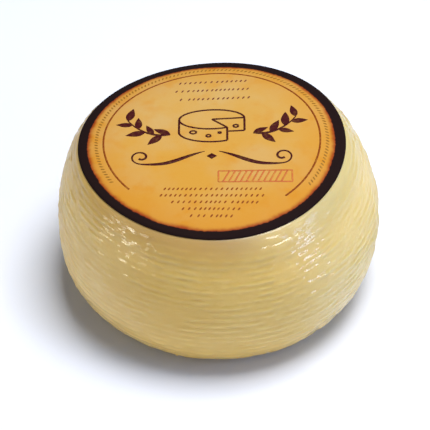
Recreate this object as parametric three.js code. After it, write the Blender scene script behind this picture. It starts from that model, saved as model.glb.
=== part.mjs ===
// A caciotta: a small round cheese with bulging sides, ridged all round by the basket it was
// moulded in, and a round paper label stuck a little off centre on its sagging top.
// Millimetres, +Z up. The origin is the middle of the base, on the widest circle's axis.
import * as THREE from "three";

// Side of the wheel: two superellipse quarters that meet at the equator, its widest circle
const EQUATOR_RADIUS = 75;
const EQUATOR_HEIGHT = 37;
const UPPER_REACH = 84.4; // height above the equator at which the upper quarter would close
const UPPER_POWER = 1.81; // 2 is an ellipse, more is squarer
const LOWER_REACH = 48;
const LOWER_POWER = 2.87;
const TURN_UNDER = THREE.MathUtils.degToRad(50); // slope at which the side meets the base rounding

// Top of the wheel
const CROWN_HEIGHT = 80.2; // middle of the top
const SHOULDER_HEIGHT = 69.5; // where the side ends and the shoulder rounding begins
const SHOULDER_RADIUS = 59.8; // where the shoulder rounding ends and the top begins
const SHOULDER_FULLNESS = 0.28; // how far the rounding fills out its corner

// Label
const LABEL_RADIUS = 61;
const LABEL_THICKNESS = 0.4;
const LABEL_GAP = 0.2; // glue line between the label and the wheel
const LABEL_OFFSET = -3.1; // how far off the wheel's axis it was stuck, along X
const LABEL_SETBACK = 0.4; // the same along Y
const RIM_DROOP = 3.3; // how much lower than its middle the label's rim is
const DROOP_POWER = 6; // flat in the middle and rounded near the rim

// Sag of the soft cheese: a tilted and saddle-shaped top, over a side that leans a little
const RIM_TILT = 1.7; // rise of the label's rim at +X
const SADDLE_RISE = 2.1; // rise and fall of the label's rim over the four quarters
const SADDLE_TURN = THREE.MathUtils.degToRad(21); // direction of the saddle's high line, from +X
const LEAN = -1.2; // how far the shoulder leans, along X
const BULGE = 0.25; // how far the side swells out of round

// Mould ridges, from the base to the shoulder
const RIDGE_PITCH = 3.5; // along the side, on average
const RIDGE_CROWDING = 0.18; // share by which they are closer at the shoulder and wider apart at the base
const RIDGE_DEPTH = 0.7;
const RIDGE_WANDER = 0.5; // how far a ridge strays up and down on its way round
const BASE_MARGIN = 3; // smooth strip beside the base
const SHOULDER_MARGIN = 5; // smooth strip under the label's rim

// Slow waves round the wheel: how many to a turn, how strong, and where they start
const WANDER_WAVES = [
  { count: 3, strength: 0.6, start: 0.5 },
  { count: 7, strength: 0.4, start: 2 },
];
const BULGE_WAVES = [
  { count: 2, strength: 1, start: 1 },
  { count: 5, strength: 1, start: 1.5 },
];

// Fineness
const SEGMENTS = 60; // steps round the axis
const RINGS_PER_RIDGE = 3;
const TOP_RINGS = 6;

const { lerp, smoothstep } = THREE.MathUtils;

// Radius of the smooth side at a height
function sideRadius(height) {
  const rise = height - EQUATOR_HEIGHT;
  const [reach, power] = rise > 0 ? [UPPER_REACH, UPPER_POWER] : [LOWER_REACH, LOWER_POWER];
  return EQUATOR_RADIUS * (1 - (Math.abs(rise) / reach) ** power) ** (1 / power);
}

// Height of the smooth top at a radius
function topHeight(radius) {
  return CROWN_HEIGHT - RIM_DROOP * (radius / LABEL_RADIUS) ** DROOP_POWER;
}

// Height below the equator at which the lower side has turned under by an angle
function turnedUnderDrop(angle) {
  const ratio = (Math.tan(angle) * LOWER_REACH / EQUATOR_RADIUS) ** (1 / (LOWER_POWER - 1));
  return LOWER_REACH * ratio * (1 + ratio ** LOWER_POWER) ** (-1 / LOWER_POWER);
}

// Profile of the side between two heights
class SideCurve extends THREE.Curve {
  constructor(fromHeight, toHeight) {
    super();
    this.fromHeight = fromHeight;
    this.toHeight = toHeight;
  }

  getPoint(t, target = new THREE.Vector2()) {
    const height = lerp(this.fromHeight, this.toHeight, t);
    return target.set(sideRadius(height), height);
  }
}

// Profile of the top from a rim to the axis, with its steps closest together at the rim
class TopCurve extends THREE.Curve {
  constructor(rimRadius) {
    super();
    this.rimRadius = rimRadius;
  }

  getPoint(t, target = new THREE.Vector2()) {
    const radius = this.rimRadius * (1 - t * t);
    return target.set(radius, topHeight(radius));
  }
}

// Curve that runs on from one curve's end into the next curve's start, cutting the corner between them
function roundingBetween(before, after) {
  const start = before.getPoint(1);
  const end = after.getPoint(0);
  const handle = SHOULDER_FULLNESS * start.distanceTo(end);
  const leave = start.clone().addScaledVector(before.getTangent(1), handle);
  const arrive = end.clone().addScaledVector(after.getTangent(0), -handle);
  return new THREE.CubicBezierCurve(start, leave, arrive, end);
}

// Smooth profile of the wheel from the edge of its flat base to the edge of its top
function sideOutline() {
  const edgeHeight = EQUATOR_HEIGHT - turnedUnderDrop(TURN_UNDER);
  const roundingRadius = edgeHeight / (1 - Math.sin(TURN_UNDER));
  const roundingCentre = sideRadius(edgeHeight) - roundingRadius * Math.cos(TURN_UNDER);
  const side = new SideCurve(edgeHeight, SHOULDER_HEIGHT);
  const outline = new THREE.CurvePath();
  outline.add(
    new THREE.ArcCurve(roundingCentre, roundingRadius, roundingRadius, -Math.PI / 2, -TURN_UNDER, false),
  );
  outline.add(side);
  outline.add(roundingBetween(side, new TopCurve(SHOULDER_RADIUS)));
  return outline;
}

// Rings of the ridged side: each point of the smooth outline, sunk by the groove between two ridges
function ridgedPoints() {
  const outline = sideOutline();
  const length = outline.getLength();
  const ridges = Math.round(length / RIDGE_PITCH);
  const rings = ridges * RINGS_PER_RIDGE;
  return Array.from({ length: rings + 1 }, (_, ring) => {
    const row = ring / rings;
    const t = row * (1 + RIDGE_CROWDING * (1 - row));
    const fromBase = smoothstep(t * length, 0, BASE_MARGIN);
    const fromTop = smoothstep((1 - t) * length, SHOULDER_MARGIN / 2, SHOULDER_MARGIN * 2);
    const groove = 0.5 + 0.5 * Math.cos(2 * Math.PI * ridges * row);
    const along = outline.getTangent(t);
    const inward = new THREE.Vector2(-along.y, along.x);
    return outline.getPoint(t).addScaledVector(inward, RIDGE_DEPTH * groove * fromBase * fromTop);
  });
}

// Sum of slow waves at an angle round the axis
function waveSum(waves, turn) {
  return waves.reduce((sum, wave) => sum + wave.strength * Math.sin(wave.count * turn + wave.start), 0);
}

// Rise of the sagging top at a place on it
function sagRise(x, y) {
  const place = new THREE.Vector2(x - LABEL_OFFSET, y - LABEL_SETBACK).divideScalar(LABEL_RADIUS);
  const tilt = RIM_TILT * place.x;
  place.rotateAround(new THREE.Vector2(), -SADDLE_TURN);
  return tilt + SADDLE_RISE * (place.x ** 2 - place.y ** 2);
}

// Moves a point of the round wheel to its place on the uneven one
function sagWheel(point) {
  const turn = Math.atan2(point.y, point.x);
  const radius = Math.hypot(point.x, point.y);
  const upper = smoothstep(point.z, EQUATOR_HEIGHT, SHOULDER_HEIGHT);
  const shoulder = smoothstep(radius, SHOULDER_RADIUS, sideRadius(SHOULDER_HEIGHT));
  const top = point.z > EQUATOR_HEIGHT ? 1 - shoulder : 0;
  const side = (1 - top) * smoothstep(point.z, 0, EQUATOR_HEIGHT);
  const shift = lerp(LEAN * upper, LABEL_OFFSET, top);
  const setback = LABEL_SETBACK * top;
  const wander = side * RIDGE_WANDER * waveSum(WANDER_WAVES, turn);
  const height = point.z + upper * sagRise(point.x + shift, point.y + setback) + wander;
  const slide = (1 - top) * (sideRadius(height) - sideRadius(point.z));
  const moved = radius + slide + side * BULGE * waveSum(BULGE_WAVES, turn);
  point.set(moved * Math.cos(turn) + shift, moved * Math.sin(turn) + setback, height);
}

// Moves a point of the flat-lying label to its place on the sagging top
function sagLabel(point) {
  point.x += LABEL_OFFSET;
  point.y += LABEL_SETBACK;
  point.z += sagRise(point.x, point.y);
}

// Solid of revolution about Z, with every vertex then moved by a function
function turnedSolid(profile, move) {
  const geometry = new THREE.LatheGeometry(profile, SEGMENTS).rotateX(Math.PI / 2);
  const positions = geometry.getAttribute("position");
  const point = new THREE.Vector3();
  for (let i = 0; i < positions.count; i += 1) {
    move(point.fromBufferAttribute(positions, i));
    positions.setXYZ(i, point.x, point.y, point.z);
  }
  geometry.computeVertexNormals();
  return geometry;
}

// Ridged wheel of cheese on its flat base
function makeCheese() {
  const base = new THREE.Vector2(0, 0);
  const top = new TopCurve(SHOULDER_RADIUS).getPoints(TOP_RINGS).slice(1);
  const material = new THREE.MeshStandardMaterial({ color: 0xdcc58c, roughness: 0.38, metalness: 0 });
  const mesh = new THREE.Mesh(turnedSolid([base, ...ridgedPoints(), ...top], sagWheel), material);
  mesh.name = "cheese";
  return mesh;
}

// Paper disc that follows the top
function makeLabel() {
  const surface = new TopCurve(LABEL_RADIUS).getPoints(TOP_RINGS + 1);
  const raised = (lift) => surface.map((point) => new THREE.Vector2(point.x, point.y + lift));
  const profile = [...raised(LABEL_GAP).reverse(), ...raised(LABEL_GAP + LABEL_THICKNESS)];
  const material = new THREE.MeshStandardMaterial({ color: 0xd69e50, roughness: 0.5, metalness: 0 });
  const mesh = new THREE.Mesh(turnedSolid(profile, sagLabel), material);
  mesh.name = "label";
  return mesh;
}

const caciotta = new THREE.Group();
caciotta.name = "caciotta";
caciotta.add(makeCheese(), makeLabel());

export default caciotta;
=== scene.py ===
"""Caciotta cheese: the looks of a ridged wheel and its printed paper label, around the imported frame.

Laid out as a Blender add-on and run as a script. Lengths are metres, in the frame's own axes.
"""

import math

import bpy
import numpy as np
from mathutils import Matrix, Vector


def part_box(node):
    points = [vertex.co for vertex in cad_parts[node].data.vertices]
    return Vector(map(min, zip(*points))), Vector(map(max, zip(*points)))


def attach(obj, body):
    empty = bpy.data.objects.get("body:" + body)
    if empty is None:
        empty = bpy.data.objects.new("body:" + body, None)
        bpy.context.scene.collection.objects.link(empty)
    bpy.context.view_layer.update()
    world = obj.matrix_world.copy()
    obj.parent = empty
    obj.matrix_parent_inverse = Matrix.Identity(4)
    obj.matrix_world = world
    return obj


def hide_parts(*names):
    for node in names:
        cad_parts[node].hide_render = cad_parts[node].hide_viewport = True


bl_info = {
    "name": "Caciotta",
    "version": (1, 0, 0),
    "blender": (4, 5, 0),
    "location": "View3D > Sidebar > Caciotta",
    "description": "Builds a ridged caciotta cheese with its paper label",
    "category": "Object",
}

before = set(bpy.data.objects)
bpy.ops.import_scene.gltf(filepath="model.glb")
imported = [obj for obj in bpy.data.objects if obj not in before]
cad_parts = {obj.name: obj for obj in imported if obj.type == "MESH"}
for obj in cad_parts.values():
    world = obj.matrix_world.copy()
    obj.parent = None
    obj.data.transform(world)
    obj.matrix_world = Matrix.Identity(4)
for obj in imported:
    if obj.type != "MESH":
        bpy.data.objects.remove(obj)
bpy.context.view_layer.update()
LABEL_LOW, LABEL_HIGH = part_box("label")

MM = 0.001

# Fineness of the meshes
WHEEL_SEGMENTS = 440
WHEEL_RING_STEP = 0.46 * MM
HIDDEN_RINGS = 9
LABEL_SEGMENTS = 240
LABEL_RINGS = 44
STROKE_STEP = 0.8 * MM

# Slow waves round the wheel: how many to a turn, how strong, and where they start
BULGE_WAVES = ((2, 1.0, 1.0), (5, 1.0, 1.5))

# Seed of the relief's unevenness
SEED = 6.8

# Points on the sampled curves
OUTLINE_POINTS = 400
RING_POINTS = 121

# What the geometry trees take in
RIDGE_INPUTS = ("Pitch", "Depth", "Wander", "Dash")
RELIEF_INPUTS = ("Lump Height", "Lump Size", "Crumple Height", "Crumple Size", "Pip Height", "Pip Spacing")
LEAF_INPUTS = ("Leaf Spacing", "Leaf Length", "Leaf Width", "Leaf Lean")
BEAD_INPUTS = ("Bead Spacing", "Bead Length", "Bead Width", "Bead Slant")
PRINT_INPUTS = {"Ink": "Float", "Paper": "Object", "Material": "Material"}

# Widths of the patches in the relief, the rind, the paper and the inks
SLOW_STRAY_SIZE = 40 * MM
QUICK_STRAY_SIZE = 9 * MM
PRESSED_SIZE = 34 * MM
RIPE_SIZE = 38 * MM
MOTTLE_SIZE = 6 * MM
GRAIN_SIZE = 1.1 * MM
TOOTH_SIZE = 1.6 * MM
WAVE_SIZE = 9 * MM
CLOUD_SIZE = 22 * MM
STAIN_SIZE = 9 * MM
FIBRE_SIZE = 0.8 * MM
WEAR_SIZE = 1.6 * MM

# Where the side changes, from where to where along X or away from the axis to the front or back
# Span along X of the painted sheen on the right flank
PAINTED_SHEEN_SPAN = (20 * MM, 60 * MM)
# Span along X over which the painted shade under the label turns paler to the right
RIGHTWARD_SPAN = (-12 * MM, 50 * MM)
# Span towards the front over which the stain and painted shade under the label grow stronger
COLLAR_FRONT = (35 * MM, 58 * MM)
DULL_FLANKS = (55 * MM, 73 * MM)
CALM_FRONT = (52 * MM, 70 * MM)
CALM_RIGHT = (-50 * MM, -15 * MM)
DEEP_RIGHT = (10 * MM, 50 * MM)
DEEP_BACK = (0, 40 * MM)

# How far from its middle a pip begins to fall away, and where it ends
PIP_EDGE = (0.1 * MM, 1.1 * MM)

# Share of the ridges' own slope that shading leaves out, so that the rind looks soft
SOFTENING = 0.8

# Reflection of paper and ink
PAPER_SPECULAR = 0.1

# Ray that finds the paper under a print, and how close points are joined
RAY_HEIGHT = 1.0
RAY_LENGTH = 2.0
JOIN_DISTANCE = 0.002 * MM

# Share of each ink that has worn off
INK_WEAR = {"maroon": 0.12, "umber": 0.3, "olive": 0.4, "plum": 0.3, "brick": 0.7}

# Level rows of beads on the label, in its own millimetres: how far back and half how long
UPPER_ROWS = ((42, 16), (35.5, 19), (29, 17))
LOWER_ROWS = ((-33, 22), (-37, 25), (-41, 20), (-45, 14), (-49, 9))
ROW_GAP = 1.2
ROW_STRAY = 1.6

# Sprigs and flourish, in the same millimetres: points with the share of the stroke's width
STEM = ((19, 4, 1), (25, 1.5, 0.9), (33, 5, 0.7), (38.5, 14, 0.4))
SWELL = ((3.2, 0.2), (7, 0.8), (12, 1.3), (17, 1.5), (22, 1.3), (27, 1.0))
FLOURISH_LEVEL = -11.5
FLOURISH_DROP = 4.6
CURL_MIDDLE = 32
CURL_RADII = (5, 1.4)
CURL_END = 5.4
CURL_POINTS = 12

# Holes of the drawn cheese: middle and radii
HOLES = (
    ((-8.5, 5), (1.5, 1.1)),
    ((-1.5, 2.4), (1.1, 0.9)),
    ((3.6, 4.4), (0.8, 0.6)),
    ((11, 8.8), (1.2, 1)),
)

# Stage
FLOOR_HALF = 3.0
FLOOR_HEIGHT = -0.1 * MM
FLOOR_COLOUR = (0.745, 0.765, 0.825, 1)
SKY_COLOUR = (0.58, 0.82, 1.35, 1)
CLIP_RANGE = (0.05, 20)
WHITE = (1, 1, 1)
WARM = (1, 0.96, 0.8)

# Lamps: azimuth from +X towards +Y and elevation in degrees, distance, size, power and colour
LAMPS = {
    "key_light": (12, 79, 1.3, (0.7, 0.7), 23.8, WHITE),
    "right_light": (-27, 6, 1.2, (0.24, 0.28), 2.2, (0.8, 1, 1.5)),
    "right_fill": (-22, 30, 1.2, (0.45, 0.2), 1.35, (0.7, 1, 1.75)),
    "right_upper": (-15, 48, 1.2, (0.35, 0.12), 0.7, WHITE),
    "left_light_front": (211, 6, 1.2, (0.15, 0.28), 1.75, WARM),
    "left_light_back": (197, 6, 1.2, (0.13, 0.28), 0.85, WARM),
    "left_upper": (204, 25, 1.2, (0.14, 0.2), 0.38, WHITE),
    "left_edge": (223, 8, 1.2, (0.14, 0.3), 0.65, WARM),
    "right_edge": (-44, 8, 1.2, (0.18, 0.3), 0.5, WHITE),
    "cool_fill": (195, 50, 1.4, (0.9, 0.9), 1.2, (0.1, 0.5, 1.0)),
}


def linear(channel):
    """Linear value of one 8-bit sRGB channel."""
    share = channel / 255
    return share / 12.92 if share <= 0.04045 else ((share + 0.055) / 1.055) ** 2.4


def metres(description, default):
    """Setting that is a length."""
    return bpy.props.FloatProperty(description=description, default=default, unit="LENGTH", precision=5)


def plain(description, default):
    """Setting that is a plain number."""
    return bpy.props.FloatProperty(description=description, default=default, precision=4)


def degrees(description, angle):
    """Setting that is an angle, given in degrees and kept in radians."""
    return bpy.props.FloatProperty(description=description, default=math.radians(angle), subtype="ANGLE")


def srgb(description, *channels):
    """Setting that is a colour, given in 8-bit sRGB and kept linear."""
    default = [linear(channel) for channel in channels]
    return bpy.props.FloatVectorProperty(
        description=description, default=default, size=3, subtype="COLOR", min=0, max=1
    )


def titled(name):
    """Name of a setting as the panel and the geometry trees write it."""
    return name.replace("_", " ").title()


class WheelSizes(bpy.types.PropertyGroup):
    """Sizes of the smooth wheel under its ridges."""

    equator_radius: metres("Half the width at the widest circle", 75 * MM)
    equator_height: metres("Height of the widest circle", 37 * MM)
    upper_reach: metres("Height over the equator where the side would close", 84.4 * MM)
    upper_power: plain("Squareness of the upper side; 2 is an ellipse", 1.81)
    lower_reach: metres("Depth under the equator where the side would close", 48 * MM)
    lower_power: plain("Squareness of the lower side; 2 is an ellipse", 2.87)
    turn_under: degrees("Slope where the side meets the base rounding", 50)
    crown_height: metres("Height of the middle of the top", 80.2 * MM)
    shoulder_height: metres("Where the shoulder rounding begins", 69.5 * MM)
    shoulder_radius: metres("Where the shoulder rounding ends", 59.8 * MM)
    shoulder_fullness: plain("How far the rounding fills its corner", 0.28)
    lean: metres("How far the shoulder leans along X", -1.2 * MM)
    bulge: metres("How far the side swells out of round", 0.25 * MM)


class RidgeSizes(bpy.types.PropertyGroup):
    """Sizes of the relief that the basket mould left on the side."""

    pitch: metres("Mean distance from ridge to ridge along the side", 3.5 * MM)
    crowding: plain("How much closer the ridges are at the shoulder", 0.18)
    depth: metres("Depth of the grooves between ridges", 0.5 * MM)
    wander: metres("How far a ridge strays up and down", 1.0 * MM)
    dash: metres("Length over which a ridge swells and thins", 7 * MM)
    base_margin: metres("Smooth strip beside the base", 3 * MM)
    shoulder_margin: metres("Smooth strip under the label", 5 * MM)
    # The strip under the label is partly a real stain, partly painted shade under its rim.
    collar: metres("Width of the stained strip under the label", 20 * MM)
    lump_height: metres("Height of the side's soft lumps", 0.3 * MM)
    lump_size: metres("Width of the side's soft lumps", 26 * MM)
    crumple_height: metres("Height of the skin's fine unevenness", 0.3 * MM)
    crumple_size: metres("Width of the skin's fine unevenness", 4 * MM)
    pip_height: metres("Height of the small pips and pits", 0.7 * MM)
    pip_spacing: metres("Distance between pips and pits", 9 * MM)


class LabelSizes(bpy.types.PropertyGroup):
    """Sizes of the paper label and of the sag it follows."""

    radius: metres("Radius of the disc", (LABEL_HIGH.x - LABEL_LOW.x) / 2)
    offset: metres("How far off the axis it is along X", (LABEL_HIGH.x + LABEL_LOW.x) / 2)
    setback: metres("How far off the axis it is along Y", (LABEL_HIGH.y + LABEL_LOW.y) / 2)
    thickness: metres("Thickness of the paper", 0.3 * MM)
    gap: metres("Glue line under the paper", 0.2 * MM)
    rim_droop: metres("How much lower the rim is than the middle", 3.3 * MM)
    droop_power: plain("How close to the rim the droop keeps", 6)
    rim_tilt: metres("Rise of the rim at +X", 1.7 * MM)
    saddle_rise: metres("Rise and fall of the rim over the quarters", 2.1 * MM)
    saddle_turn: degrees("Direction of the saddle's high line", 21)
    border: metres("Width of the black border", 4.7 * MM)
    border_slip: metres("How far its inner edge is off centre along X", -0.3 * MM)
    border_drop: metres("How far its inner edge is off centre along Y", -0.8 * MM)
    ragged: metres("How uneven the border's inner edge is", 0.9 * MM)
    singe: metres("Width of the browned strip inside the border", 3.0 * MM)


class PrintSizes(bpy.types.PropertyGroup):
    """Sizes of the ornament printed on the label."""

    ink: metres("Thickness of the ink", 0.05 * MM)
    arc_radius: metres("Radius of the thin arc line", 49.3 * MM)
    arc_start: degrees("Where the arc line begins", -48.5)
    arc_sweep: degrees("How far round the arc line goes", 270.5)
    arc_width: metres("Width of the arc line", 0.85 * MM)
    bead_radius: metres("Radius of the curved row of beads", 52.6 * MM)
    bead_start: degrees("Where the curved row begins", -34)
    bead_sweep: degrees("How far round the curved row goes", 246)
    bead_spacing: metres("Distance from bead to bead", 1.9 * MM)
    bead_length: metres("Length of a bead", 2.0 * MM)
    bead_width: metres("Width of a bead", 0.8 * MM)
    bead_slant: degrees("Turn of a bead against its row", 58)
    leaf_length: metres("Length of a leaf of the sprigs", 9.5 * MM)
    leaf_width: metres("Width of a leaf of the sprigs", 4.0 * MM)
    leaf_spacing: metres("Distance from leaf to leaf on a stem", 3.5 * MM)
    leaf_lean: degrees("Turn of a leaf against its stem", 46)
    brush: metres("Width of the bold strokes", 1.5 * MM)
    pen: metres("Width of the fine strokes", 1.0 * MM)


class Colours(bpy.types.PropertyGroup):
    """Colours of the rind, the paper and the inks."""

    crest: srgb("Rind on the ridges", 224, 190, 108)
    # Darker rind in the grooves is painted shade between the ridges.
    groove: srgb("Rind between the ridges", 207, 165, 77)
    ripe: srgb("Riper patches of rind", 214, 174, 86)
    # Paler rind on the right flank: a painted sheen for the whiter light that falls there.
    chalk: srgb("Paler rind on the right flank", 204, 199, 140)
    # Brown rind under the label: partly a real stain, partly painted shade under the label's rim.
    stain: srgb("Rind just under the label", 142, 108, 70)
    # Collar colour on the right: painted shade under the label, paler for the whiter light there.
    bloom: srgb("Drier rind just under the label", 164, 159, 126)
    amber: srgb("Paper", 190, 141, 53)
    pale: srgb("Worn patches of the paper", 187, 153, 94)
    toasted: srgb("Darker patches of the paper", 188, 123, 22)
    burnt: srgb("Paper just inside the border", 128, 18, 2)
    soot: srgb("Border of the label", 26, 12, 11)
    maroon: srgb("Ink of the bold ornament", 62, 14, 16)
    umber: srgb("Ink of the arc line and the lower beads", 124, 58, 14)
    olive: srgb("Ink of the curved row of beads", 132, 92, 30)
    plum: srgb("Ink of the upper beads", 100, 50, 42)
    brick: srgb("Ink of the hatched bar", 184, 100, 52)


class StageSettings(bpy.types.PropertyGroup):
    """Camera and lights."""

    elevation: degrees("Height of the camera over the horizon", 43.02)
    distance: metres("From the camera to its aim", 1.0)
    lens: plain("Focal length in millimetres", 178.3)
    aim_height: metres("Height that the camera aims at", 33.9 * MM)
    aim_side: metres("Where the camera stands and aims along X", -1.63 * MM)
    daylight: plain("Strength of the even light from all round", 0.065)


class CaciottaSettings(bpy.types.PropertyGroup):
    """All settings of the cheese."""

    wheel: bpy.props.PointerProperty(type=WheelSizes)
    ridges: bpy.props.PointerProperty(type=RidgeSizes)
    label: bpy.props.PointerProperty(type=LabelSizes)
    ornament: bpy.props.PointerProperty(type=PrintSizes)
    colours: bpy.props.PointerProperty(type=Colours)
    stage: bpy.props.PointerProperty(type=StageSettings)


def math_method(operation, turned=False):
    """Arithmetic operator that adds a Math node; a turned one has the number on its right."""

    def method(number, other):
        return number.graph.math(operation, *((other, number) if turned else (number, other)))

    return method


class Number:
    """A number socket that takes part in Python arithmetic."""

    def __init__(self, graph, socket):
        self.graph = graph
        self.socket = socket

    __add__ = math_method("ADD")
    __radd__ = math_method("ADD", True)
    __sub__ = math_method("SUBTRACT")
    __rsub__ = math_method("SUBTRACT", True)
    __mul__ = math_method("MULTIPLY")
    __rmul__ = math_method("MULTIPLY", True)
    __truediv__ = math_method("DIVIDE")
    __rtruediv__ = math_method("DIVIDE", True)
    __pow__ = math_method("POWER")

    def __abs__(self):
        return self.graph.math("ABSOLUTE", self)


class Graph:
    """Adds nodes to one shader or geometry tree."""

    def __init__(self, tree):
        self.tree = tree

    def node(self, kind, settings=None, sockets=None):
        """Add a node, set its settings, then fill or link its inputs by name or number."""
        made = self.tree.nodes.new(kind)
        for name, value in (settings or {}).items():
            setattr(made, name, value)
        for key, value in (sockets or {}).items():
            self.feed(self.find(made.inputs, key), value)
        return made

    @staticmethod
    def find(sockets, key):
        """The socket of that number, or the first one in use of that name."""
        if isinstance(key, int):
            return sockets[key]
        return next(socket for socket in sockets if socket.enabled and socket.name == key)

    def feed(self, socket, value):
        """Link a socket or a number to an input, or set a plain value on it."""
        if isinstance(value, Number):
            value = value.socket
        if isinstance(value, bpy.types.NodeSocket):
            self.tree.links.new(value, socket)
        else:
            socket.default_value = value

    def output(self, kind, settings=None, sockets=None, key=0):
        """One output of a new node."""
        return self.find(self.node(kind, settings, sockets).outputs, key)

    def number(self, kind, settings=None, sockets=None, key=0):
        """One output of a new node, as a number."""
        return Number(self, self.output(kind, settings, sockets, key))

    def math(self, operation, *terms):
        """Result of a Math node."""
        return self.number("ShaderNodeMath", {"operation": operation}, dict(enumerate(terms)))

    def ramp(self, value, low, high):
        """0 up to low, 1 from high on, and smooth between."""
        sockets = {"Value": value, "From Min": low, "From Max": high}
        return self.number("ShaderNodeMapRange", {"interpolation_type": "SMOOTHSTEP"}, sockets)

    def noise(self, place, size, detail, seed=0.0):
        """Cloudy noise between 0 and 1, with clouds of about that size."""
        sockets = {"Vector": place, "W": seed, "Scale": 1 / size, "Detail": detail}
        return self.number("ShaderNodeTexNoise", {"noise_dimensions": "4D"}, sockets)

    def patches(self, place, size, detail, low, high, seed=0.0):
        """Noise sharpened into patches."""
        return self.ramp(self.noise(place, size, detail, seed), low, high)

    def parts(self, vector):
        """X, Y and Z of a vector."""
        made = self.node("ShaderNodeSeparateXYZ", None, {0: vector})
        return [Number(self, socket) for socket in made.outputs]

    def vector(self, x, y, z):
        """Vector from three numbers."""
        return self.output("ShaderNodeCombineXYZ", None, {0: x, 1: y, 2: z})

    def mix(self, factor, first, second, kind="RGBA"):
        """Colour or vector between two others, each a socket or a colour of the settings."""
        sockets = {"Factor": factor, "A": opaque(first), "B": opaque(second)}
        return self.output("ShaderNodeMix", {"data_type": kind}, sockets, "Result")


def opaque(colour):
    """RGBA value of a colour of the settings; a socket stays as it is."""
    return colour if isinstance(colour, bpy.types.NodeSocket) else (*colour, 1.0)


def new_material(name):
    """Empty material with its graph, the object's coordinates and its Principled shader."""
    material = bpy.data.materials.new(name)
    material.use_nodes = True
    graph = Graph(material.node_tree)
    place = graph.output("ShaderNodeTexCoord", key="Object")
    return material, graph, place, material.node_tree.nodes["Principled BSDF"]


def dress_shader(graph, shader, sockets):
    """Fill or link the inputs of a Principled shader."""
    for name, value in sockets.items():
        graph.feed(shader.inputs[name], value)


def rind_material(colours):
    """Waxy, slightly translucent rind, paler on the ridges than in the grooves, where the darker colour is
    painted shade. Under the label it has a stain mixed with painted shade, and on its right flank a painted
    sheen.
    """
    material, graph, place, shader = new_material("rind")
    x, y, _ = graph.parts(place)
    groove, collar = (
        graph.number("ShaderNodeAttribute", {"attribute_name": name}, key="Fac")
        for name in ("groove", "collar")
    )
    forward = y * -1
    patches = graph.patches(place, RIPE_SIZE, 3, 0.42, 0.68)
    mottle = graph.noise(place, MOTTLE_SIZE, 4)
    grain = graph.noise(place, GRAIN_SIZE, 3)
    # Painted shade: the grooves between the ridges are coloured darker.
    tone = graph.mix(groove * 0.4 + (mottle - 0.5) * 0.5, colours.crest, colours.groove)
    tone = graph.mix(patches * 0.45, tone, colours.ripe)
    # Painted sheen: the right flank turns paler, as if lit by whiter light.
    tone = graph.mix(graph.ramp(x, *PAINTED_SHEEN_SPAN) * 0.25, tone, colours.chalk)
    # Towards the right, the painted shade under the label turns paler, where the light is whiter.
    rightward = graph.ramp(x, *RIGHTWARD_SPAN)
    stain = graph.mix(rightward, colours.stain, colours.bloom)
    # Strength of the stain and painted shade under the label, more at the front.
    collar_strength = 0.5 + 0.2 * graph.ramp(forward, *COLLAR_FRONT) * (1 - rightward)
    # Under the label the rind turns to the stain and painted shade.
    tone = graph.mix(collar * (collar_strength + patches * 0.15), tone, stain)
    shine = 0.34 + (mottle - 0.5) * 0.22 + groove * 0.08
    dull = graph.ramp(abs(x), *DULL_FLANKS) * 0.7
    covered = (0.75 - rightward * 0.3) * graph.ramp(collar, 0.8, 0.98)
    calm = graph.ramp(forward, *CALM_FRONT) * graph.ramp(x, *CALM_RIGHT) * 0.5
    film = (0.9 - patches * 0.25) * (1 - dull) * (1 - covered) * (1 - calm)
    smooth_normal = graph.output("ShaderNodeAttribute", {"attribute_name": "smooth_normal"}, key="Vector")
    ridged_normal = graph.output("ShaderNodeNewGeometry", key="Normal")
    softened = graph.mix(SOFTENING, ridged_normal, smooth_normal, "VECTOR")
    soft_normal = graph.output("ShaderNodeVectorMath", {"operation": "NORMALIZE"}, {0: softened}, "Vector")
    relief = {"Strength": 0.35, "Distance": 0.25 * MM, "Height": grain * 0.6 + mottle, "Normal": soft_normal}
    sockets = {
        "Base Color": tone,
        "Roughness": shine,
        "Specular IOR Level": 0.15,
        "Subsurface Weight": 0.4,
        "Subsurface Radius": (1.0, 0.65, 0.3),
        "Subsurface Scale": 4 * MM,
        "Coat Weight": film,
        "Coat Roughness": 0.12,
        "Normal": graph.output("ShaderNodeBump", None, relief),
    }
    dress_shader(graph, shader, sockets)
    return material


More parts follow.
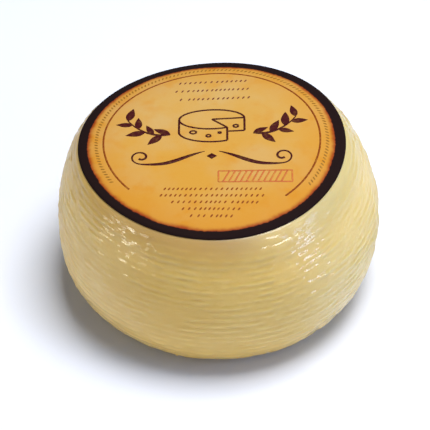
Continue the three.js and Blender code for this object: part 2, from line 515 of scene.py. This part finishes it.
def paper_material(colours, label):
    """Amber parchment paper with a black border and a singed strip inside it."""
    material, graph, place, shader = new_material("label_paper")
    x, y, _ = graph.parts(place)
    across = x - (label.offset + label.border_slip)
    along = y - (label.setback + label.border_drop)
    radius = graph.math("SQRT", across * across + along * along)
    teeth = graph.noise(place, TOOTH_SIZE, 2) - 0.5
    waves = graph.noise(place, WAVE_SIZE, 2) - 0.5
    edge = radius + (teeth + waves) * label.ragged
    scorch = radius + (teeth + waves * 3) * label.ragged
    border_start = label.radius - label.border
    border = graph.ramp(edge, border_start - 0.2 * MM, border_start + 0.3 * MM)
    singe = graph.ramp(scorch, border_start - label.singe, border_start + 0.2 * MM)
    clouds = graph.patches(place, CLOUD_SIZE, 4, 0.35, 0.7)
    stains = graph.patches(place, STAIN_SIZE, 5, 0.48, 0.75)
    fibres = graph.noise(place, FIBRE_SIZE, 2)
    outer = graph.ramp(radius, 0.55 * label.radius, label.radius)
    front = graph.ramp(y, 0.55 * label.radius, -0.6 * label.radius)
    tone = graph.mix(0.3 + clouds * 0.75 - front * 0.35, colours.amber, colours.pale)
    tone = graph.mix(outer * 0.65 + front * 0.26 + stains * 0.4, tone, colours.toasted)
    tone = graph.mix(fibres * 0.12, tone, colours.pale)
    tone = graph.mix(singe * singe * 0.85, tone, colours.burnt)
    tone = graph.mix(border, tone, colours.soot)
    rough = 0.62 + (fibres - 0.5) * 0.16 + border * 0.25
    bump = graph.output(
        "ShaderNodeBump", sockets={"Strength": 0.12, "Distance": 0.1 * MM, "Height": fibres + clouds * 2}
    )
    sockets = {"Base Color": tone, "Roughness": rough, "Specular IOR Level": PAPER_SPECULAR, "Normal": bump}
    dress_shader(graph, shader, sockets)
    return material


def ink_material(name, ink, paper_tone, wear):
    """Printing ink that lets a little of the paper show where it has worn."""
    material, graph, place, shader = new_material(name)
    worn = graph.patches(place, WEAR_SIZE, 4, 0.45, 0.75) * wear
    tone = graph.mix(worn, ink, paper_tone)
    sockets = {"Base Color": tone, "Roughness": 0.58 + worn * 0.2, "Specular IOR Level": PAPER_SPECULAR}
    dress_shader(graph, shader, sockets)
    return material


def smoothstep(values, low, high):
    """0 up to low, 1 from high on, and smooth between."""
    share = np.clip((values - low) / (high - low), 0, 1)
    return share * share * (3 - 2 * share)


class WheelForm:
    """The smooth shape of the wheel and its top, as functions of their sizes."""

    def __init__(self, wheel, label):
        self.wheel = wheel
        self.label = label

    def side_radius(self, height):
        """Radius of the side: two superellipse quarters that meet at the equator."""
        wheel = self.wheel
        rise = height - wheel.equator_height
        reach = np.where(rise > 0, wheel.upper_reach, wheel.lower_reach)
        power = np.where(rise > 0, wheel.upper_power, wheel.lower_power)
        return wheel.equator_radius * (1 - (np.abs(rise) / reach) ** power) ** (1 / power)

    def top_height(self, radius):
        """Height of the top: flat in the middle and drooping near the label's rim."""
        label = self.label
        return self.wheel.crown_height - label.rim_droop * (radius / label.radius) ** label.droop_power

    def sag_rise(self, x, y):
        """Rise of the sagging top: a tilt and a saddle."""
        label = self.label
        across = (x - label.offset) / label.radius
        away = (y - label.setback) / label.radius
        high = across * math.cos(label.saddle_turn) + away * math.sin(label.saddle_turn)
        low = away * math.cos(label.saddle_turn) - across * math.sin(label.saddle_turn)
        return label.rim_tilt * across + label.saddle_rise * (high**2 - low**2)

    def base_rounding(self):
        """Radius of the rounding at the base, and of the flat disc inside it."""
        wheel = self.wheel
        slope = math.tan(wheel.turn_under) * wheel.lower_reach / wheel.equator_radius
        ratio = slope ** (1 / (wheel.lower_power - 1))
        drop = wheel.lower_reach * ratio * (1 + ratio**wheel.lower_power) ** (-1 / wheel.lower_power)
        edge = wheel.equator_height - drop
        rounding = edge / (1 - math.sin(wheel.turn_under))
        return rounding, self.side_radius(edge) - rounding * math.cos(wheel.turn_under)

    def shoulder_points(self, share):
        """Rounding that cuts the corner between the side and the top, as a cubic curve."""
        wheel = self.wheel
        step = 0.01 * MM
        start = np.array([self.side_radius(wheel.shoulder_height), wheel.shoulder_height])
        end = np.array([wheel.shoulder_radius, self.top_height(wheel.shoulder_radius)])
        before = np.array([self.side_radius(wheel.shoulder_height - step), start[1] - step])
        after = np.array([end[0] - step, self.top_height(end[0] - step)])
        handle = wheel.shoulder_fullness * np.linalg.norm(end - start)
        leave = start + handle * (start - before) / np.linalg.norm(start - before)
        arrive = end - handle * (after - end) / np.linalg.norm(after - end)
        t = share[:, None]
        back = 1 - t
        return back**3 * start + 3 * back**2 * t * leave + 3 * back * t**2 * arrive + t**3 * end

    def side_outline(self):
        """Evenly spaced profile from the base's edge to the top's edge, and the run along it."""
        wheel = self.wheel
        share = np.linspace(0, 1, OUTLINE_POINTS)
        rounding, flat_radius = self.base_rounding()
        angle = -math.pi / 2 + share * (math.pi / 2 - wheel.turn_under)
        foot = np.column_stack([flat_radius + rounding * np.cos(angle), rounding * (1 + np.sin(angle))])
        heights = foot[-1, 1] + share[1:] * (wheel.shoulder_height - foot[-1, 1])
        side = np.column_stack([self.side_radius(heights), heights])
        points = np.concatenate([foot, side, self.shoulder_points(share)[1:]])
        run = np.concatenate([[0], np.cumsum(np.linalg.norm(np.diff(points, axis=0), axis=1))])
        even = np.linspace(0, run[-1], round(run[-1] / WHEEL_RING_STEP) + 1)
        return np.column_stack([np.interp(even, run, points[:, k]) for k in (0, 1)]), even

    def sag_wheel(self, points):
        """Move points of the round wheel to their places on the uneven one."""
        wheel, label = self.wheel, self.label
        x, y, z = points.T
        turn = np.arctan2(y, x)
        radius = np.hypot(x, y)
        upper = smoothstep(z, wheel.equator_height, wheel.shoulder_height)
        corner = self.side_radius(wheel.shoulder_height)
        top = np.where(z > wheel.equator_height, 1 - smoothstep(radius, wheel.shoulder_radius, corner), 0)
        side = (1 - top) * smoothstep(z, 0, wheel.equator_height)
        shift = wheel.lean * upper * (1 - top) + label.offset * top
        setback = label.setback * top
        height = z + upper * self.sag_rise(x + shift, y + setback)
        bulge = sum(strength * np.sin(count * turn + start) for count, strength, start in BULGE_WAVES)
        slide = np.zeros_like(z)
        sliding = top < 1
        slide[sliding] = self.side_radius(height[sliding]) - self.side_radius(z[sliding])
        moved = radius + (1 - top) * slide + side * wheel.bulge * bulge
        return np.column_stack([moved * np.cos(turn) + shift, moved * np.sin(turn) + setback, height])

    def sag_label(self, points):
        """Move points of the level label to their places on the sagging top."""
        x = points[:, 0] + self.label.offset
        y = points[:, 1] + self.label.setback
        return np.column_stack([x, y, points[:, 2] + self.sag_rise(x, y)])


def ring_values(values, segments):
    """Spread one value for each profile point over the vertices of a turned mesh."""
    return np.concatenate([values[:1], np.repeat(values[1:-1], segments), values[-1:]])


def turned_mesh(name, profile, segments, move):
    """Closed mesh of a profile turned about Z, from the axis back to the axis, with its points moved."""
    rings = len(profile) - 2
    radius = ring_values(profile[:, 0], segments)
    height = ring_values(profile[:, 1], segments)
    turn = np.concatenate([[0], np.tile(np.arange(segments) * (2 * math.pi / segments), rings), [0]])
    points = np.column_stack([radius * np.cos(turn), radius * np.sin(turn), height])
    here = np.arange(segments)
    following = (here + 1) % segments
    first = 1 + segments * np.arange(rings - 1)[:, None]
    quads = np.stack(
        [first + here, first + following, first + segments + following, first + segments + here], axis=-1
    )
    last = 1 + segments * (rings - 1)
    bottom = np.column_stack([np.zeros(segments, int), 1 + following, 1 + here])
    top = np.column_stack([np.full(segments, last + segments), last + here, last + following])
    faces = bottom.tolist() + quads.reshape(-1, 4).tolist() + top.tolist()
    mesh = bpy.data.meshes.new(name)
    mesh.from_pydata(move(points).tolist(), [], faces)
    mesh.shade_smooth()
    return mesh


def add_object(name, data):
    """Object at the origin, in the scene."""
    made = bpy.data.objects.new(name, data)
    bpy.context.scene.collection.objects.link(made)
    return made


def store(mesh, name, values):
    """Keep a number for each vertex of a mesh."""
    mesh.attributes.new(name, "FLOAT", "POINT").data.foreach_set("value", values)


def geometry_tree(name, numbers, others):
    """New geometry tree with named inputs: its graph, and the inputs by name, numbers as numbers."""
    tree = bpy.data.node_groups.new(name, "GeometryNodeTree")
    for label, kind in ({"Geometry": "Geometry"} | dict.fromkeys(numbers, "Float") | others).items():
        tree.interface.new_socket(label, in_out="INPUT", socket_type=f"NodeSocket{kind}")
    tree.interface.new_socket("Geometry", in_out="OUTPUT", socket_type="NodeSocketGeometry")
    graph = Graph(tree)
    given = {socket.name: socket for socket in graph.node("NodeGroupInput").outputs}
    return graph, given | {label: Number(graph, given[label]) for label in numbers}


def end_tree(graph, geometry, material):
    """End a geometry tree with plain geometry in one material."""
    real = graph.output("GeometryNodeRealizeInstances", sockets={"Geometry": geometry})
    painted = graph.output("GeometryNodeSetMaterial", sockets={"Geometry": real, "Material": material})
    graph.node("NodeGroupOutput", sockets={"Geometry": painted})
    return graph.tree


def values_of(sizes):
    """Values of a group of settings, by the names that the geometry trees call them."""
    return {titled(name): getattr(sizes, name) for name in type(sizes).__annotations__}


def grow(carrier, tree, values):
    """Run a geometry tree on an object, and give its result as a plain mesh."""
    modifier = carrier.modifiers.new(tree.name, "NODES")
    modifier.node_group = tree
    for item in tree.interface.items_tree:
        if item.in_out == "INPUT" and item.name in values:
            modifier[item.identifier] = values[item.name]
    depsgraph = bpy.context.evaluated_depsgraph_get()
    mesh = bpy.data.meshes.new_from_object(carrier.evaluated_get(depsgraph))
    carrier.modifiers.remove(modifier)
    return mesh


def keep_value(graph, geometry, kind, name, value):
    """Geometry that keeps a value for each vertex."""
    return graph.output(
        "GeometryNodeStoreNamedAttribute",
        {"data_type": kind, "domain": "POINT"},
        {"Geometry": geometry, "Name": name, "Value": value},
    )


def ridge_tree():
    """Tree that presses the basket's grooves, soft lumps, pips and pits into the smooth wheel."""
    graph, given = geometry_tree("basket_ridges", RIDGE_INPUTS + RELIEF_INPUTS, {"Material": "Material"})
    pitch, depth, wander, dash = (given[name] for name in RIDGE_INPUTS)
    lump_height, lump_size, crumple_height, crumple_size, pip_height, pip_spacing = (
        given[name] for name in RELIEF_INPUTS
    )
    place = graph.output("GeometryNodeInputPosition")
    normal = graph.output("GeometryNodeInputNormal")
    run, ridged = (
        graph.number("GeometryNodeInputNamedAttribute", {"data_type": "FLOAT"}, {"Name": name})
        for name in ("run", "ridged")
    )
    x, y, z = graph.parts(place)

    slow = graph.noise(place, SLOW_STRAY_SIZE, 1, SEED) - 0.5
    quick = graph.noise(place, QUICK_STRAY_SIZE, 1, SEED) - 0.5
    stray = slow * 2 + quick * 1.4
    phase = (run + stray * wander) / pitch
    row = graph.math("FLOOR", phase)
    along = graph.vector(x, y, row * 0.05)
    slip = 0.6 + 1.5 * graph.noise(along, 1.6 * dash, 1, SEED)
    crest = graph.math("SINE", (phase - row) ** slip * math.pi)
    pressed = 0.45 + 0.55 * graph.patches(place, PRESSED_SIZE, 1, 0.35, 0.6, SEED)
    strength = pressed * graph.patches(along, dash, 2, 0.34, 0.64, SEED)
    groove = ridged * (1 - crest * strength)
    deeper = graph.math("MAXIMUM", graph.ramp(x, *DEEP_RIGHT), graph.ramp(y, *DEEP_BACK))
    sunk = groove * depth * (1 + deeper * 0.4)

    lumps = (graph.noise(place, lump_size, 2, SEED) - 0.5) * 2 * lump_height
    squeezed = graph.vector(x, y, z * 2)
    crumple = (graph.noise(squeezed, crumple_size, 2, SEED) - 0.5) * 2 * crumple_height

    cells = graph.node("ShaderNodeTexVoronoi", None, {"Vector": place, "Scale": 1 / pip_spacing})
    draw, sense, _ = graph.parts(cells.outputs["Color"])
    near = 1 - graph.ramp(Number(graph, cells.outputs["Distance"]) * pip_spacing, *PIP_EDGE)
    sign = graph.math("GREATER_THAN", sense, 0.35) * 2 - 1
    pips = near * graph.math("GREATER_THAN", draw, 0.5) * sign * pip_height
    rise = (lumps + pips) * ridged + crumple * ridged**0.5 - sunk

    smooth = keep_value(graph, given["Geometry"], "FLOAT_VECTOR", "smooth_normal", normal)
    offset = graph.node("ShaderNodeVectorMath", {"operation": "SCALE"}, {0: normal})
    graph.feed(offset.inputs["Scale"], rise)
    moved = graph.output(
        "GeometryNodeSetPosition", sockets={"Geometry": smooth, "Offset": offset.outputs[0]}
    )
    return end_tree(graph, keep_value(graph, moved, "FLOAT", "groove", groove), given["Material"])


def print_on(graph, flat, given):
    """Lay a flat shape on the paper, give it the thickness of ink, and end the tree."""
    x, y, _ = graph.parts(graph.output("GeometryNodeInputPosition"))
    paper = graph.output(
        "GeometryNodeObjectInfo", {"transform_space": "RELATIVE"}, {"Object": given["Paper"]}, "Geometry"
    )
    touch = graph.output(
        "GeometryNodeRaycast",
        sockets={
            "Target Geometry": paper,
            "Source Position": graph.vector(x, y, RAY_HEIGHT),
            "Ray Direction": (0, 0, -1),
            "Ray Length": RAY_LENGTH,
        },
        key="Hit Position",
    )
    laid = graph.output("GeometryNodeSetPosition", sockets={"Geometry": flat, "Position": touch})
    raised = graph.output(
        "GeometryNodeExtrudeMesh",
        {"mode": "FACES"},
        {"Mesh": laid, "Offset Scale": given["Ink"], "Individual": False},
    )
    under = graph.output("GeometryNodeFlipFaces", sockets={"Mesh": laid})
    both = graph.node("GeometryNodeJoinGeometry", None, {"Geometry": raised})
    graph.feed(both.inputs["Geometry"], under)
    closed = graph.output(
        "GeometryNodeMergeByDistance", sockets={"Geometry": both.outputs[0], "Distance": JOIN_DISTANCE}
    )
    return end_tree(graph, closed, given["Material"])


def stroke_tree():
    """Tree that turns curves into pen strokes on the paper, as wide as the curves' radius says."""
    graph, given = geometry_tree("pen_strokes", ("Width",), PRINT_INPUTS)
    half = given["Width"] * 0.5
    path = graph.output(
        "GeometryNodeResampleCurve",
        {"mode": "LENGTH", "keep_last_segment": True},
        {"Curve": given["Geometry"], "Length": STROKE_STEP},
    )
    level = graph.output("GeometryNodeSetCurveNormal", {"mode": "Z_UP"}, {"Curve": path})
    nib = graph.output(
        "GeometryNodeCurvePrimitiveLine",
        sockets={"Start": graph.vector(half * -1, 0, 0), "End": graph.vector(half, 0, 0)},
    )
    ribbon = graph.output(
        "GeometryNodeCurveToMesh",
        sockets={"Curve": level, "Profile Curve": nib, "Scale": graph.output("GeometryNodeInputRadius")},
    )
    return print_on(graph, ribbon, given)


def set_along(graph, path, spacing, shape, lean, size):
    """Copies of a flat shape along a curve, each turned to the curve and then by a lean."""
    points = graph.node("GeometryNodeCurveToPoints", {"mode": "LENGTH"}, {"Curve": path, "Length": spacing})
    x, y, _ = graph.parts(points.outputs["Tangent"])
    turn = graph.vector(0, 0, graph.math("ARCTAN2", y, x) + lean)
    copies = graph.output(
        "GeometryNodeInstanceOnPoints",
        sockets={
            "Points": points.outputs["Points"],
            "Instance": shape,
            "Rotation": graph.output("FunctionNodeEulerToRotation", sockets={"Euler": turn}),
            "Scale": graph.vector(size, size, size),
        },
    )
    return graph.output("GeometryNodeRealizeInstances", sockets={"Geometry": copies})


def leaf_tree():
    """Tree that sets leaves on both sides of stems, on the paper."""
    graph, given = geometry_tree("leaves", LEAF_INPUTS, PRINT_INPUTS)
    spacing, length, width, lean = (given[name] for name in LEAF_INPUTS)
    blank = graph.output(
        "GeometryNodeMeshGrid", sockets={"Size X": 1, "Size Y": 1, "Vertices X": 11, "Vertices Y": 3}
    )
    x, y, _ = graph.parts(graph.output("GeometryNodeInputPosition"))
    share = x + 0.5
    belly = 0.05 + 0.95 * graph.math("SINE", share**0.8 * math.pi)
    outline = graph.vector(share * length, y * belly * width, 0)
    leaf = graph.output("GeometryNodeSetPosition", sockets={"Geometry": blank, "Position": outline})
    index = graph.number("GeometryNodeInputIndex")
    side = graph.math("MODULO", index, 2) * 2 - 1
    size = 0.88 + 0.12 * graph.math("SINE", index * 2.4)
    return print_on(graph, set_along(graph, given["Geometry"], spacing, leaf, side * lean, size), given)


def bead_tree():
    """Tree that sets slanting beads along a curve, on the paper."""
    graph, given = geometry_tree("beads", BEAD_INPUTS, PRINT_INPUTS)
    spacing, length, width, slant = (given[name] for name in BEAD_INPUTS)
    disc = graph.output("GeometryNodeMeshCircle", {"fill_type": "NGON"}, {"Vertices": 8, "Radius": 0.5})
    stretch = graph.vector(length, width, 1)
    bead = graph.output("GeometryNodeTransform", sockets={"Geometry": disc, "Scale": stretch})
    return print_on(graph, set_along(graph, given["Geometry"], spacing, bead, slant, 1), given)


def arc_points(centre, radii, start, sweep, count):
    """Points on an elliptic arc, angles in degrees."""
    angles = np.radians(start + np.linspace(0, sweep, count))
    return [(centre[0] + radii[0] * math.cos(a), centre[1] + radii[1] * math.sin(a)) for a in angles]


def ring_path(radius, start, sweep):
    """Points on an arc about the label's middle, from a length and two angles of the settings."""
    radii = (radius / MM, radius / MM)
    return arc_points((0, 0), radii, math.degrees(start), math.degrees(sweep), RING_POINTS)


def level_rows(rows):
    """Level lines across the label, each broken by gaps."""
    lines = []
    for row, (y, half) in enumerate(rows):
        breaks = 4 + row % 3
        cuts = np.linspace(-half, half, breaks) + ROW_STRAY * np.sin(np.arange(breaks) * 2.3 + row)
        lines += [[(left + ROW_GAP, y), (right - ROW_GAP, y)] for left, right in zip(cuts, cuts[1:])]
    return lines


def curve_object(name, strokes, label, smooth=False):
    """Flat curves in the label's own millimetres, each a list of (x, y) or (x, y, width share)."""
    curve = bpy.data.curves.new(name, "CURVE")
    curve.dimensions = "3D"
    for stroke in strokes:
        spline = curve.splines.new("NURBS" if smooth else "POLY")
        spline.points.add(len(stroke) - 1)
        for point, (x, y, *share) in zip(spline.points, stroke):
            point.co = (label.offset + x * MM, label.setback + y * MM, 0, 1)
            point.radius = share[0] if share else 1
        if smooth:
            spline.order_u = min(4, len(stroke))
            spline.use_endpoint_u = True
    return add_object(name, curve)


def finish_piece(piece, slot, *nodes):
    """Fix a finished piece to the frame."""
    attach(piece, "root")
    if nodes:
        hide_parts(*nodes)


class CACIOTTA_OT_wheel(bpy.types.Operator):
    """Build the ridged wheel of cheese"""

    bl_idname = "caciotta.wheel"
    bl_label = "Wheel"

    def execute(self, context):
        settings = context.scene.caciotta
        ridges = settings.ridges
        form = WheelForm(settings.wheel, settings.label)
        side, run = form.side_outline()
        base_radius = np.linspace(0, side[0, 0], HIDDEN_RINGS + 1)[:-1]
        base = np.column_stack([base_radius, np.zeros(HIDDEN_RINGS)])
        top_radius = side[-1, 0] * (1 - np.linspace(0, 1, HIDDEN_RINGS + 1)[1:] ** 2)
        top = np.column_stack([top_radius, form.top_height(top_radius)])
        length = run[-1]
        distance = np.concatenate([base_radius - side[0, 0], run, length + side[-1, 0] - top_radius])
        from_base = smoothstep(distance, 0, ridges.base_margin)
        to_top = length - distance
        from_top = smoothstep(to_top, ridges.shoulder_margin / 4, 1.2 * ridges.shoulder_margin)
        share = np.clip(distance / length, 0, 1)
        far = 1 + ridges.crowding
        row = (far - np.sqrt(far**2 - 4 * ridges.crowding * share)) / (2 * ridges.crowding)
        mesh = turned_mesh(
            "wheel_blank", np.concatenate([base, side, top]), WHEEL_SEGMENTS, form.sag_wheel
        )
        kept = {
            "run": row * length,
            "ridged": from_base * from_top,
            # Share of the stain and painted shade under the label, from its rim down
            "collar": 1 - smoothstep(to_top, 0, ridges.collar),
        }
        for name, numbers in kept.items():
            store(mesh, name, ring_values(numbers, WHEEL_SEGMENTS))
        piece = add_object("cheese_wheel", mesh)
        values = values_of(ridges)
        values["Pitch"] = length / round(length / ridges.pitch)
        values["Material"] = rind_material(settings.colours)
        piece.data = grow(piece, ridge_tree(), values)
        piece.data.shade_smooth()
        finish_piece(piece, "cheese", "cheese")
        return {"FINISHED"}


class CACIOTTA_OT_label(bpy.types.Operator):
    """Build the paper label"""

    bl_idname = "caciotta.label"
    bl_label = "Label"

    def execute(self, context):
        settings = context.scene.caciotta
        label = settings.label
        form = WheelForm(settings.wheel, label)
        radius = label.radius * np.linspace(0, 1, LABEL_RINGS)
        height = form.top_height(radius) + label.gap
        under = np.column_stack([radius, height])
        upper = np.column_stack([radius, height + label.thickness])[::-1]
        mesh = turned_mesh("label_disc", np.concatenate([under, upper]), LABEL_SEGMENTS, form.sag_label)
        mesh.materials.append(paper_material(settings.colours, label))
        piece = add_object("paper_label", mesh)
        finish_piece(piece, "label", "label")
        return {"FINISHED"}


class CACIOTTA_OT_ornament(bpy.types.Operator):
    """Print the ornament on the label"""

    bl_idname = "caciotta.ornament"
    bl_label = "Ornament"

    def execute(self, context):
        settings = context.scene.caciotta
        self.label, self.sizes = settings.label, settings.ornament
        self.paper = bpy.data.objects["paper_label"]
        self.strokes, self.leaves, self.beads = stroke_tree(), leaf_tree(), bead_tree()
        colours = settings.colours
        self.inks = {
            name: ink_material(f"{name}_ink", getattr(colours, name), colours.amber, wear)
            for name, wear in INK_WEAR.items()
        }
        sizes = self.sizes
        arc = ring_path(sizes.arc_radius, sizes.arc_start, sizes.arc_sweep)
        curved_row = ring_path(sizes.bead_radius, sizes.bead_start, sizes.bead_sweep)
        self.put("label_arc_line", [arc], self.strokes, "umber", sizes.arc_width)
        self.put("label_curved_beads", [curved_row], self.beads, "olive")
        self.put("label_upper_beads", level_rows(UPPER_ROWS), self.beads, "plum")
        self.put("label_lower_beads", level_rows(LOWER_ROWS), self.beads, "umber")
        self.print_sprigs()
        self.print_flourish()
        self.print_wheel_mark()
        self.print_bar()
        return {"FINISHED"}

    def put(self, name, strokes, tree, ink, width=0.0, smooth=False):
        """Run a tree on strokes, and keep the result as a piece of the label."""
        curves = curve_object("strokes", strokes, self.label, smooth)
        values = values_of(self.sizes)
        values |= {"Width": width, "Paper": self.paper, "Material": self.inks[ink]}
        piece = add_object(name, grow(curves, tree, values))
        bpy.data.objects.remove(curves)
        finish_piece(piece, "label")

    def print_sprigs(self):
        """Leafy sprigs that reach out to the left and right of the wheel mark."""
        stems = [[(side * x, y, share) for x, y, share in STEM] for side in (-1, 1)]
        self.put("label_sprig_leaves", stems, self.leaves, "maroon", smooth=True)
        self.put("label_sprig_stems", stems, self.strokes, "maroon", self.sizes.brush, smooth=True)

    def print_flourish(self):
        """Swelling scrolls to both sides of a lozenge, under the wheel mark."""
        level, brush = FLOURISH_LEVEL, self.sizes.brush
        turns = np.linspace(-math.pi / 2, CURL_END, CURL_POINTS)
        radii = np.linspace(*CURL_RADII, CURL_POINTS)
        across = CURL_MIDDLE + radii * np.cos(turns)
        away = level - 0.6 + radii * np.sin(turns)
        fall = [(x, level - 1 + FLOURISH_DROP * math.cos(min(x / 8, math.pi)), share) for x, share in SWELL]
        scroll = fall + list(zip(across, away, 1 - 0.1 * radii))
        scrolls = [[(side * x, y, share) for x, y, share in scroll] for side in (-1, 1)]
        lozenge = [(-2.4, level, 0.05), (0, level, 2.6), (2.4, level, 0.05)]
        self.put("label_scrolls", scrolls, self.strokes, "maroon", brush, smooth=True)
        self.put("label_lozenge", [lozenge], self.strokes, "maroon", brush)

    def print_wheel_mark(self):
        """Line drawing of a cheese wheel with a wedge cut out of its right front."""
        centre, radii, depth = (0, 14), (15, 6.8), 9
        cut_from, cut_to = 4, -62
        low = (centre[0], centre[1] - depth)
        rim = {angle: arc_points(centre, radii, angle, 0, 1)[0] for angle in (cut_from, cut_to, 180)}
        foot = {angle: (x, y - depth) for angle, (x, y) in rim.items()}
        share = foot[cut_to][0] / foot[cut_from][0]
        behind = (foot[cut_to][0], low[1] + share * (foot[cut_from][1] - low[1]))
        strokes = [
            arc_points(centre, radii, cut_from, 360 + cut_to - cut_from, 49),
            [rim[cut_from], centre, rim[cut_to]],
            arc_points(low, radii, 180, 180 + cut_to, 17),
            [behind, foot[cut_from]],
            *([rim[angle], foot[angle]] for angle in rim),
            *(arc_points(middle, size, 0, 360, 13) for middle, size in HOLES),
        ]
        self.put("label_wheel_mark", strokes, self.strokes, "maroon", self.sizes.pen)

    def print_bar(self):
        """Hatched bar under the ornament."""
        left, right, low, high, slant, step = 3, 36, -28.5, -21.5, 3, 2.6
        outline = [(left, low), (right, low), (right, high), (left, high), (left, low)]
        hatch = [[(x, low), (x + slant, high)] for x in np.arange(left + 2, right - slant, step)]
        self.put("label_hatched_bar", [outline, *hatch], self.strokes, "brick", self.sizes.pen * 0.8)


class CACIOTTA_OT_stage(bpy.types.Operator):
    """Set up the pale floor, the lights and the camera"""

    bl_idname = "caciotta.stage"
    bl_label = "Stage"

    def execute(self, context):
        stage = context.scene.caciotta.stage
        self.aim = np.array([stage.aim_side, 0, stage.aim_height])
        self.add_floor()
        for name, lamp in LAMPS.items():
            self.add_softbox(name, *lamp)
        self.add_world(stage.daylight)
        self.add_camera(stage)
        context.scene.view_settings.view_transform = "Standard"
        return {"FINISHED"}

    def add_floor(self):
        """Broad pale floor just under the base."""
        corners = ((-1, -1), (1, -1), (1, 1), (-1, 1))
        points = [(x * FLOOR_HALF, y * FLOOR_HALF, FLOOR_HEIGHT) for x, y in corners]
        mesh = bpy.data.meshes.new("floor")
        mesh.from_pydata(points, [], [(0, 1, 2, 3)])
        material, graph, _, shader = new_material("floor")
        sockets = {"Base Color": FLOOR_COLOUR, "Roughness": 0.9, "Specular IOR Level": 0.0}
        dress_shader(graph, shader, sockets)
        mesh.materials.append(material)
        add_object("floor", mesh)

    def add_softbox(self, name, azimuth, elevation, distance, size, power, colour):
        """Rectangular lamp that looks at the cheese."""
        light = bpy.data.lights.new(name, "AREA")
        light.shape = "RECTANGLE"
        light.size, light.size_y = size
        light.energy = power
        light.color = colour
        a, e = math.radians(azimuth), math.radians(elevation)
        direction = np.array([math.cos(e) * math.cos(a), math.cos(e) * math.sin(a), math.sin(e)])
        lamp = add_object(name, light)
        lamp.location = self.aim + distance * direction
        lamp.rotation_euler = (math.pi / 2 - e, 0, a + math.pi / 2)

    def add_world(self, strength):
        """Even, slightly blue light from all round."""
        world = bpy.data.worlds.new("daylight")
        world.use_nodes = True
        background = world.node_tree.nodes["Background"]
        background.inputs["Color"].default_value = SKY_COLOUR
        background.inputs["Strength"].default_value = strength
        bpy.context.scene.world = world

    def add_camera(self, stage):
        """Camera in front of the cheese, looking down on it."""
        data = bpy.data.cameras.new("camera")
        data.lens = stage.lens
        data.clip_start, data.clip_end = CLIP_RANGE
        camera = add_object("camera", data)
        back = np.array([0, -math.cos(stage.elevation), math.sin(stage.elevation)])
        camera.location = self.aim + stage.distance * back
        camera.rotation_euler = (math.pi / 2 - stage.elevation, 0, 0)
        bpy.context.scene.camera = camera


OPERATORS = (CACIOTTA_OT_wheel, CACIOTTA_OT_label, CACIOTTA_OT_ornament, CACIOTTA_OT_stage)


class CACIOTTA_PT_panel(bpy.types.Panel):
    """Lists the steps that build the cheese, and its settings"""

    bl_idname = "CACIOTTA_PT_panel"
    bl_label = "Caciotta"
    bl_space_type = "VIEW_3D"
    bl_region_type = "UI"
    bl_category = "Caciotta"

    def draw(self, context):
        for operator in OPERATORS:
            self.layout.operator(operator.bl_idname)
        settings = context.scene.caciotta
        for group_name in CaciottaSettings.__annotations__:
            group = getattr(settings, group_name)
            box = self.layout.box()
            for name in type(group).__annotations__:
                box.prop(group, name, text=titled(name))


CLASSES = (
    WheelSizes,
    RidgeSizes,
    LabelSizes,
    PrintSizes,
    Colours,
    StageSettings,
    CaciottaSettings,
    *OPERATORS,
    CACIOTTA_PT_panel,
)


def register():
    """Make the settings, operators and panel known."""
    for item in CLASSES:
        bpy.utils.register_class(item)
    bpy.types.Scene.caciotta = bpy.props.PointerProperty(type=CaciottaSettings)


def unregister():
    """Take the settings, operators and panel away again."""
    del bpy.types.Scene.caciotta
    for item in reversed(CLASSES):
        bpy.utils.unregister_class(item)


def main():
    """Build the cheese on its stage."""
    register()
    bpy.ops.caciotta.wheel()
    bpy.ops.caciotta.label()
    bpy.ops.caciotta.ornament()
    bpy.ops.caciotta.stage()


if __name__ == "__main__":
    main()
